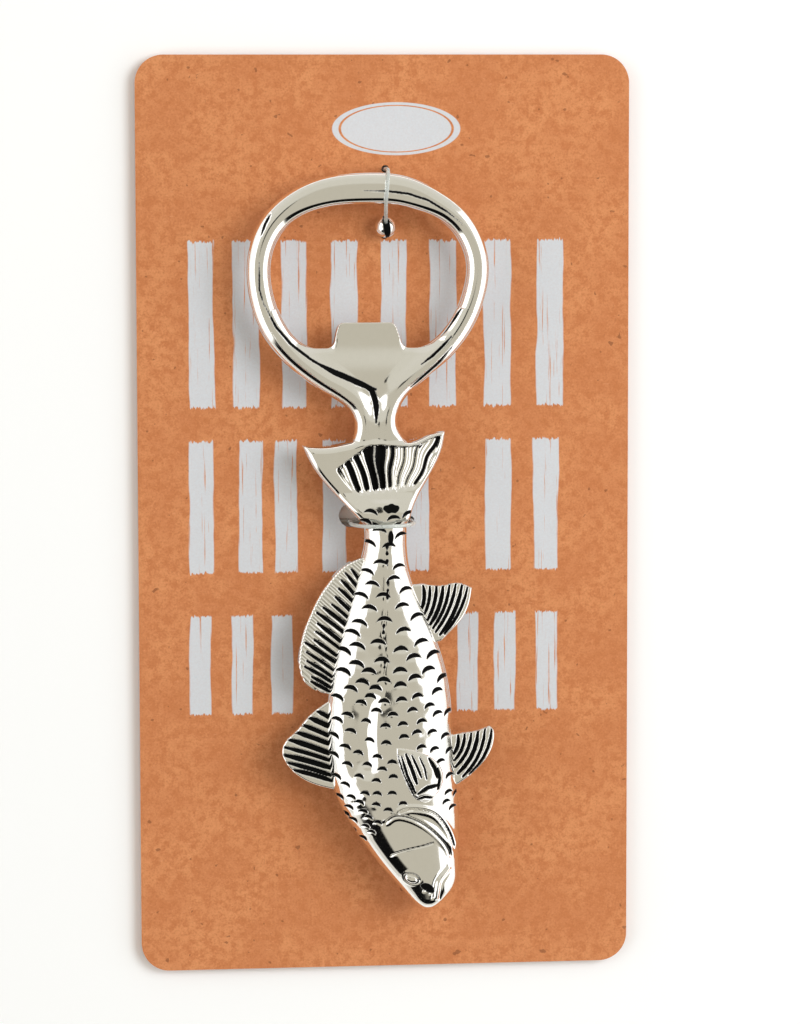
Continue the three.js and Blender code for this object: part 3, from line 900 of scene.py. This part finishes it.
REAR_DORSAL = Outline(
    [(-9.2, -9.7), (-12, -12.6), (-14.4, -16), (-16.1, -19.4), (-17.5, -23), (-18.3, -26.6),
     (-18.6, -29.4)],
    [(-18.1, -32), (-16.9, -34), (-14.7, -35.4), (-12.2, -36.1)],
    [(-9.6, -36), (-8.4, -30), (-6.4, -22), (-4.4, -12), (-4, -7.9), (-6.3, -8.2)])
REAR_DORSAL_RAYS = rays(
    [(-7.4, -9.2), (-10.8, -12), (-13.9, -16.2), (-16.1, -20.8), (-17.6, -25.4), (-18.1, -29.8),
     (-17.2, -33.2)],
    [(-5.6, -12.2), (-6.6, -17.6), (-8.2, -22.6), (-10, -27.3), (-11.2, -31.5), (-11.8, -34.6),
     (-12.6, -35.8)],
    17, 0.4, 0.03, 4, 0.34)
FRONT_DORSAL = Outline(
    [(-14.2, -38.6), (-16.6, -40.6), (-19, -43.4), (-21.3, -45.6), (-22.1, -47.6), (-21.7, -49.4),
     (-20.2, -51.6), (-17.9, -53.5), (-15.2, -54.8), (-12, -55.7)],
    [(-9.6, -55.6), (-9.6, -46), (-10, -37.6), (-12.4, -37.4)])
FRONT_DORSAL_RAYS = rays(
    [(-14, -38.8), (-17.3, -41.5), (-20.1, -44.4), (-21.6, -47.2), (-21.1, -49.7), (-19.3, -52.3)],
    [(-11.8, -40.2), (-11.8, -44.2), (-11.8, -47.8), (-11.8, -50.8), (-11.8, -53), (-11.8, -54.7)],
    9, 0.52, 0.03, 7, 0.02)
ANAL = Outline(
    [(7.2, -13.5), (9.5, -13.8), (11.8, -13.7), (13.6, -13.3), (15.4, -13.6), (17.2, -14.5)],
    [(16.7, -17.4), (15.3, -20.6), (13.2, -23), (10.9, -25.3)],
    [(8.2, -25.6), (6, -22), (4.4, -16.8), (4.2, -13.9), (5.6, -13.6)])
ANAL_RAYS = rays(
    [(6.4, -13.8), (8.6, -13.8), (10.9, -13.7), (13.2, -13.2), (15.2, -13.5), (16.9, -14.4)],
    [(6.6, -18), (7.6, -20.3), (8.6, -21.9), (9.4, -23.1), (10.4, -24), (12.2, -23.6)],
    8, 0.4, 0.14, 3, 0.02)
PELVIC = Outline(
    [(15.2, -44.5), (17.6, -44.2), (19.4, -43.7), (20.9, -43.1)],
    [(21.7, -44), (21.8, -46), (20.9, -48.8), (18.8, -51.6), (16.6, -53.6), (14.6, -55)],
    [(12, -55.6), (11, -50), (11, -45), (13.2, -44.8)])
PELVIC_RAYS = rays(
    [(13.6, -45), (15.6, -44.6), (17.8, -44.1), (20, -43.4), (22, -43.4)],
    [(13.3, -48), (13.6, -50.4), (14, -52.4), (15.2, -53.6), (17.4, -52.8)],
    6, 0.42, 0.2, 5, 0.02)

# Black lines painted on the ring: painted shade in the creases where the bars run into the lifter and the
# neck, and painted dark reflection along the bars.
RING_PAINTED_DARK_LINES = [
    ([(-26.3, 53), (-26.3, 47), (-25.3, 43.6)], 0.2),
    ([(-25.6, 44.6), (-23, 39.5), (-20, 36), (-16, 32.9), (-12, 30.6)], 0.3),
    ([(-15.5, 32.5), (-11, 30.1), (-8, 28.8), (-5, 27.4), (-2.6, 26.5)], 0.62),
    ([(-5.4, 27.5), (-3.4, 26.3), (-2.7, 24.4), (-2.5, 22.8), (-2.6, 19.8)], 0.6),
    ([(-5, 66.9), (0, 66.8), (4, 66.3), (8, 65), (12, 62.6), (15, 60.2)], 0.26),
    ([(6.6, 31.6), (9, 33.4), (11, 35.3), (12.9, 37.3)], 0.3),
    ([(10.8, 37.4), (12.4, 39.6), (15, 43)], 0.36),
    ([(4.5, 26.9), (7, 29.1), (10, 31.7), (13, 35.2)], 0.3),
    ([(-23.9, 62.3), (-25, 60.4), (-25.9, 58)], 0.26)]


def ring_relief(p, n):
    # black lines painted over shallow grooves: painted dark reflection on the bars and painted shade in the
    # creases
    x, y = p[:, 0], p[:, 1]
    front = smoothstep(n[:, 2], 0.3, 0.6)
    nearest = groove_gap(x, y, RING_PAINTED_DARK_LINES, (0.4, 0.3), (0.4, 0.3))
    height = -0.12 * (1 - smoothstep(nearest, -0.3, 0.15))
    return height * front, np.clip(dark_mask(nearest, 1.2), 0, 1) * front


PECTORAL = Outline(
    [(3.2, -46.7), (5.8, -47.4), (8.4, -48.8), (10.2, -51), (10.6, -53.2)],
    [(9.9, -55.4), (8.6, -57), (7.2, -57.9), (5.6, -57.6), (4.2, -56.6)],
    [(2.9, -54.2), (1.8, -51.4), (1, -48.8), (0.9, -46.4)])
PECTORAL_RAYS = [
    ([(1, -48), (2, -52), (4.4, -56.8)], 0.42), ([(1.9, -48.2), (2.9, -51.8), (4.6, -55.6)], 0.3),
    ([(2.8, -47.8), (3.9, -50.6), (4.9, -53.6)], 0.42), ([(4, -48), (5, -50.2), (5.9, -52.4)], 0.28),
    ([(5.6, -48.4), (6.6, -50.6), (7, -52.8)], 0.22), ([(7.6, -48.7), (8.8, -50.8), (9.3, -52.6)], 0.42),
    ([(9.4, -50.8), (9.8, -52.8), (9.5, -55.2)], 0.34), ([(5.2, -55.8), (7.2, -54.6), (9.3, -54.3)], 0.46),
    ([(5, -57), (6.6, -56.6), (8.2, -56.9)], 0.3)]


def flank(x, y, side):
    """Height of the body's front or rear over a place, from the opener's middle plane."""
    left, right = BODY_LEFT(y), BODY_RIGHT(y)
    across = np.abs((x - (left + right) / 2) / ((right - left) / 2))
    deep = BODY_FRONT(y) if side > 0 else BODY_REAR(y)
    power = BODY_POWER(y)
    return deep * np.clip(1 - np.clip(across, 0, 0.98) ** power, 0.02, 1) ** (1 / power)


def pectoral_field(side, tallest):
    def field(p):
        x, y, z = p[:, 0], p[:, 1], p[:, 2] * side
        along = ((x - 1.2) * 5.5 + (y + 46.6) * -11.0) / (5.5**2 + 11.0**2)
        rise = 0.35 + tallest * smoothstep(along, 0.0, 0.72) * smoothstep(along, 1.12, 0.78)
        base = flank(x, y, side)
        return rounded(PECTORAL(p[:, :2]), np.maximum(z - base - rise, base - 0.9 - z) / 1.15, 0.35)
    return field


def eye_field(side):
    centre = np.array([EYE[0], EYE[1], side * (flank(EYE[:1], EYE[1:], side)[0] - 0.25)])

    def field(p):
        along, over = turned(p[:, 0] - centre[0], p[:, 1] - centre[1], EYE_TURN)
        return (np.sqrt(along**2 + (over / 0.68) ** 2 + ((p[:, 2] - centre[2]) / 0.42) ** 2) - 1.4) * 0.6
    return field


# ---- the opener's pieces

plating = metal("polished_plate")


def make_opener():
    casting("ring_and_neck_casting", "ring_and_neck", head_field, (-29.8, 17, -3.2), (21.8, 71.8, 3.2), 0.3,
            ring_relief, [(NECK_CUT, True)])
    casting("cap_lifter_casting", "cap_lifter", plate_field, (-24, 19.6, -2.8), (17, 44, 2.8), 0.22,
            ring_relief)
    casting("tail_casting", "tail_fin", trunk_field, (-18.8, -1, -4.6), (13.2, 20, 5.2), 0.2, fan_relief,
            [(NECK_CUT, False), (BODY_CUT, True)])
    casting("body_casting", "fish_body", trunk_field, (-14, -83, -6.4), (16, 2.5, 8.6), 0.22, body_relief,
            [(BODY_CUT, False)])
    fins = {"dorsal_fin_rear": (REAR_DORSAL, REAR_DORSAL_RAYS, (math.radians(42), 0.66, 0.06)),
            "dorsal_fin_front": (FRONT_DORSAL, FRONT_DORSAL_RAYS, None),
            "anal_fin": (ANAL, ANAL_RAYS, None),
            "pelvic_fin": (PELVIC, PELVIC_RAYS, None)}
    for node, (outline, grooves, ribs) in fins.items():
        low, high = outline.a.min(0) - 0.6, outline.a.max(0) + 0.6
        casting(node + "_casting", node, fin_field(outline), (*low, -2.2), (*high, 2.2), 0.2,
                groove_relief(grooves, 0.5, ribs))
    for side, where, tallest in ((1, "front", 1.5), (-1, "rear", 0.5)):
        node = "pectoral_fin_" + where
        low, high = (3, 10.5) if side > 0 else (-7.5, -3)
        casting(node + "_casting", node, pectoral_field(side, tallest), (0, -59, low), (12, -45.5, high),
                0.18, groove_relief(PECTORAL_RAYS, 0.42))
        node = "eye_" + where
        low, high = sorted((side * 1.5, side * 7.5))
        casting(node + "_casting", node, eye_field(side), (2.6, -76.4, low), (6.6, -72.4, high), 0.15)


make_opener()

# ---- the card


# Rows of strokes on the card: top, bottom, then each stroke's middle and half width (mm).
PRINT_ROWS = [
    (56.5, 22.5, [
        (-37.6, 2.6), (-28.5, 2.7), (-18.6, 2.5), (-8.2, 2.7), (2, 2.6), (12.2, 2.7), (23.4, 2.8),
        (34.4, 2.7)]),
    (15.5, -11.6, [
        (-37.8, 2.5), (-27.6, 2.4), (-20.4, 2.3), (-10.4, 2.4), (6.8, 2.4), (23.6, 2.6), (33.6, 2.6)]),
    (-20.6, -41, [(-38.2, 2.2), (-29.6, 2.2), (-21.4, 2.2), (17.2, 2.2), (25, 2.2), (33.8, 2.2)])]
BADGE_CENTRE = (2.6, 79.4)
BADGE_RADII = (13.2, 5.4)


def stretched(n, where, scale):
    """The place scaled by a number for each axis."""
    return n.add("ShaderNodeVectorMath", {0: where, 1: scale}, operation="MULTIPLY").outputs[0]


def kraft_board(n, where, grain):
    """Orange-brown board with clouds, specks and loose fibres."""
    cloud = n.noise(where, 0.09, 5.0, 0.65)
    blotch = n.noise(where, 0.55, 3.0, 0.6)
    fleck = n.noise(where, 0.7, 1.0, 0.4)
    pale = n.noise(stretched(n, where, (0.7, 2.6, 1.0)), 1.0)
    fibre = n.noise(stretched(n, where, (2.4, 0.5, 1.0)), 1.0)
    kraft = n.mix(n.step(cloud, 0.35, 0.65), (0.610, 0.222, 0.084, 1), (0.700, 0.282, 0.113, 1))
    layers = [(blotch, 0.38, 0.68, 1.0, (0.570, 0.196, 0.069, 1)),
              (grain, 0.45, 0.72, 0.55, (0.470, 0.153, 0.050, 1)),
              (grain, 0.42, 0.25, 0.5, (0.830, 0.370, 0.172, 1)),
              (fleck, 0.76, 0.79, 0.6, (0.20, 0.060, 0.022, 1)),
              (pale, 0.70, 0.75, 0.4, (0.74, 0.34, 0.17, 1)),
              (fibre, 0.72, 0.77, 0.35, (0.34, 0.11, 0.04, 1))]
    for value, low, high, share, tint in layers:
        kraft = n.mix(n.times(n.step(value, low, high), share), kraft, tint)
    return kraft


def brushed_print(n, where):
    """How much print lies on a place: rows of dry-brushed strokes and an oval badge, on the front only."""
    split = n.add("ShaderNodeSeparateXYZ", {0: where})
    x, y, z = split.outputs
    wobble = n.times(n.minus(n.noise(stretched(n, where, (0.35, 0.08, 1.0)), 1.0), 0.5), 1.3)
    ragged = n.noise(stretched(n, where, (2.2, 0.15, 1.0)), 1.0, 3.0, 0.7)
    ragged = n.times(n.minus(ragged, 0.5), 2.4)
    streak = n.noise(stretched(n, where, (1.9, 0.045, 1.0)), 1.0, 3.0, 0.65)
    bristle = n.noise(stretched(n, where, (5.0, 0.12, 1.0)), 1.0, 2.0, 0.6)
    ink = 0.0
    for top, bottom, strokes in PRINT_ROWS:
        height = n.band(n.plus(y, ragged), bottom, top, 0.12)
        for middle, half in strokes:
            inside = n.band(n.minus(n.plus(x, wobble), middle), -half, half, 0.15)
            ink = n.math("MAXIMUM", ink, n.times(inside, height))
    dry = n.times(n.step(streak, 0.60, 0.66), n.step(bristle, 0.42, 0.55))
    ink = n.times(ink, n.minus(1.0, n.times(dry, 0.92)))
    u, v = (n.math("DIVIDE", n.minus(along, middle), radius)
            for along, middle, radius in zip((x, y), BADGE_CENTRE, BADGE_RADII))
    r = n.math("SQRT", n.plus(n.times(u, u), n.times(v, v)))
    badge = n.minus(n.step(r, 1.01, 0.99), n.band(r, 0.86, 0.90, 0.008))
    front = n.step(z, CARD_FACE - 0.12, CARD_FACE - 0.06)
    return n.times(n.math("MAXIMUM", ink, badge), front)


def card_material():
    material, n, place, shader = new_material("printed_kraft")
    where = stretched(n, place, (1 / MM, 1 / MM, 1 / MM))
    grain = n.noise(where, 2.2, 4.0, 0.75)
    ink = brushed_print(n, where)
    white = n.mix(n.noise(where, 2.5, 3.0, 0.6), (0.61, 0.66, 0.71, 1), (0.69, 0.735, 0.785, 1))
    cover = n.times(ink, n.step(grain, 0.2, 0.75, 0.97, 0.86))
    height = n.plus(n.noise(where, 3.0, 4.0, 0.7), n.times(ink, 0.25))
    bump = n.add("ShaderNodeBump", {"Height": height, "Strength": 0.12, "Distance": 0.0002})
    n.fill(shader, {
        "Base Color": n.mix(cover, kraft_board(n, where, grain), white),
        "Roughness": n.step(ink, 0, 1, 0.82, 0.6),
        "Normal": bump.outputs[0]})
    return material


def set_material(node, material):
    obj = bpy.data.objects[node]
    if not obj.material_slots:
        obj.data.materials.append(material)
    for slot in obj.material_slots:
        slot.material = material


# ---- ties, bead and floor


def filament_material():
    material, n, place, shader = new_material("clear_filament")
    milky = n.mix(n.noise(place, 120.0, 2.0), (0.74, 0.77, 0.74, 1), (0.84, 0.87, 0.84, 1))
    rough = n.step(n.noise(place, 260.0), 0.3, 0.7, 0.22, 0.32)
    n.fill(shader, {"Base Color": milky, "Roughness": rough, "Transmission Weight": 0.5, "IOR": 1.45})
    return material


def between(u, low, high, a, b):
    """From a to b as u goes from low to high."""
    return ((high - u) * a + (u - low) * b) / (high - low)


def catmull(points, steps):
    """Points along a centripetal Catmull-Rom curve through the given points."""
    p = np.asarray(points, float)
    p = np.vstack([2 * p[0] - p[1], p, 2 * p[-1] - p[-2]])
    found = []
    for i in range(1, len(p) - 2):
        reach = np.linalg.norm(np.diff(p[i - 1:i + 3], axis=0), axis=1) ** 0.5
        t = np.concatenate([[0], np.cumsum(reach)])
        for u in np.linspace(t[1], t[2], steps, endpoint=False):
            a = [between(u, t[k], t[k + 1], p[i - 1 + k], p[i + k]) for k in range(3)]
            b = [between(u, t[k], t[k + 2], a[k], a[k + 1]) for k in range(2)]
            found.append(between(u, t[1], t[2], b[0], b[1]))
    found.append(p[-2])
    return np.array(found)


def filament(name, route, replaced, body, material, radius=0.4, around=20):
    """A round filament along its route, with closed ends."""
    path = catmull(route, 10)
    tangent = unit(np.gradient(path, axis=0))
    side = np.array([1.0, 0.0, 0.0])
    points, faces = [], []
    for centre, t in zip(path, tangent):
        side = side - t * (side @ t)
        side = side / np.linalg.norm(side)
        up = np.cross(t, side)
        for k in range(around):
            turn = 2 * math.pi * k / around
            points.append(centre + radius * (math.cos(turn) * side + math.sin(turn) * up))
    for i in range(len(path) - 1):
        for k in range(around):
            a, b = i * around + k, i * around + (k + 1) % around
            faces.append([a, b, b + around, a + around])
    faces.append(list(range(around))[::-1])
    faces.append(list(range(len(points) - around, len(points))))
    build(name, np.array(points), faces, material, body, [replaced])


LEG_END = CARD_FACE - 0.9
BEAD_CENTRE = np.array([0.1, 59.5, 5.0])
THREAD = unit(np.array([[-0.08, 0.55, 0.83]]))[0]


def make_ties(material):
    top = MID + 3.2
    thread = [BEAD_CENTRE + d * THREAD for d in (5.4, 3.6, 1.8, 0, -1.8)]
    filament("ring_tie_filament", [
        (0.3, 71.2, LEG_END), (0.3, 71.2, CARD_FACE), (0.2, 71.2, MID - 1), (0.0, 70.7, MID + 1.9),
        (-0.3, 67.6, top), (-0.5, 65.2, top - 0.5), *thread,
        (0.1, 57.7, CARD_FACE + 0.1), (0.1, 57.7, LEG_END)], "tie_over_ring", "ring_tie", material)
    top = MID + 4.65
    filament("tail_tie_filament", [
        (-7.2, -1.3, LEG_END), (-7.2, -1.3, CARD_FACE), (-7.1, -1.3, MID + 0.2), (-5.2, -1.3, MID + 3.8),
        (-2.6, -1.3, top), (1.8, -1.2, top), (3.7, -1.1, MID + 3.8), (5.3, -1.1, MID + 0.2),
        (5.4, -1.1, CARD_FACE), (5.4, -1.1, LEG_END)], "tie_over_tail", "tail_tie", material)


BEAD_RADIUS, BORE_RADIUS, REFLECTION_BAND_HALF = 2.25, 0.75, 0.75


def make_bead(material):
    """A polished bead turned about its thread, with a dark reflection painted on as a band along it."""
    cross = unit(np.cross(THREAD, (0.0, 0.0, 1.0))[None])[0]
    front = np.cross(cross, THREAD)
    end = math.acos(BORE_RADIUS / BEAD_RADIUS * 1.12)
    profile = [(BEAD_RADIUS * math.cos(a), BEAD_RADIUS * math.sin(a)) for a in np.linspace(-end, end, 41)]
    lip = profile[-1][1]
    inner = [(BORE_RADIUS, h) for h in np.linspace(lip - 0.06, 0.06 - lip, 9)]
    profile = profile + [(BORE_RADIUS + 0.02, lip - 0.02)] + inner + [(BORE_RADIUS + 0.02, 0.02 - lip)]
    around, points, faces, band = 72, [], [], []
    for k in range(around):
        turn = 2 * math.pi * k / around
        out = math.cos(turn) * cross + math.sin(turn) * front
        for radius, height in profile:
            points.append(BEAD_CENTRE + radius * out + height * THREAD)
            # painted reflection: a dark band along the thread, as wide as the bead looks from above
            tall = radius * math.sin(turn) * front[1] + height * THREAD[1]
            wide = math.sqrt(BEAD_RADIUS**2 - 0.86 * tall**2)
            band.append(dark_mask(abs(radius * math.cos(turn)) - REFLECTION_BAND_HALF * wide / BEAD_RADIUS))
    size = len(profile)
    for k in range(around):
        for i in range(size):
            j, m = (i + 1) % size, (k + 1) % around
            faces.append([k * size + i, m * size + i, m * size + j, k * size + j])
    build("bead_shell", np.array(points), faces, material, "bead", ["bead"],
          enamel_and_painted_dark=np.clip(band, 0, 1))


def make_floor():
    """A wide pale sweep under the card, with a faint unevenness."""
    mesh = bpy.data.meshes.new("floor")
    reach = 30.0
    corners = [(-reach, -reach, 0), (reach, -reach, 0), (reach, reach, 0), (-reach, reach, 0)]
    mesh.from_pydata(corners, [], [(0, 1, 2, 3)])
    material, n, place, shader = new_material("white_sweep")
    tint = n.mix(n.noise(place, 6.0, 3.0), (0.985, 0.985, 0.995, 1), (0.99, 0.99, 0.998, 1))
    n.fill(shader, {"Base Color": tint, "Roughness": 0.9})
    mesh.materials.append(material)
    obj = bpy.data.objects.new("floor", mesh)
    bpy.context.collection.objects.link(obj)


set_material("backing_card", card_material())
clear = filament_material()
for bar in ("ring_outer", "ring_inner", "tail_left", "tail_right"):
    set_material("tie_bar_" + bar, clear)
make_ties(clear)
make_bead(metal("bead_steel"))
make_floor()
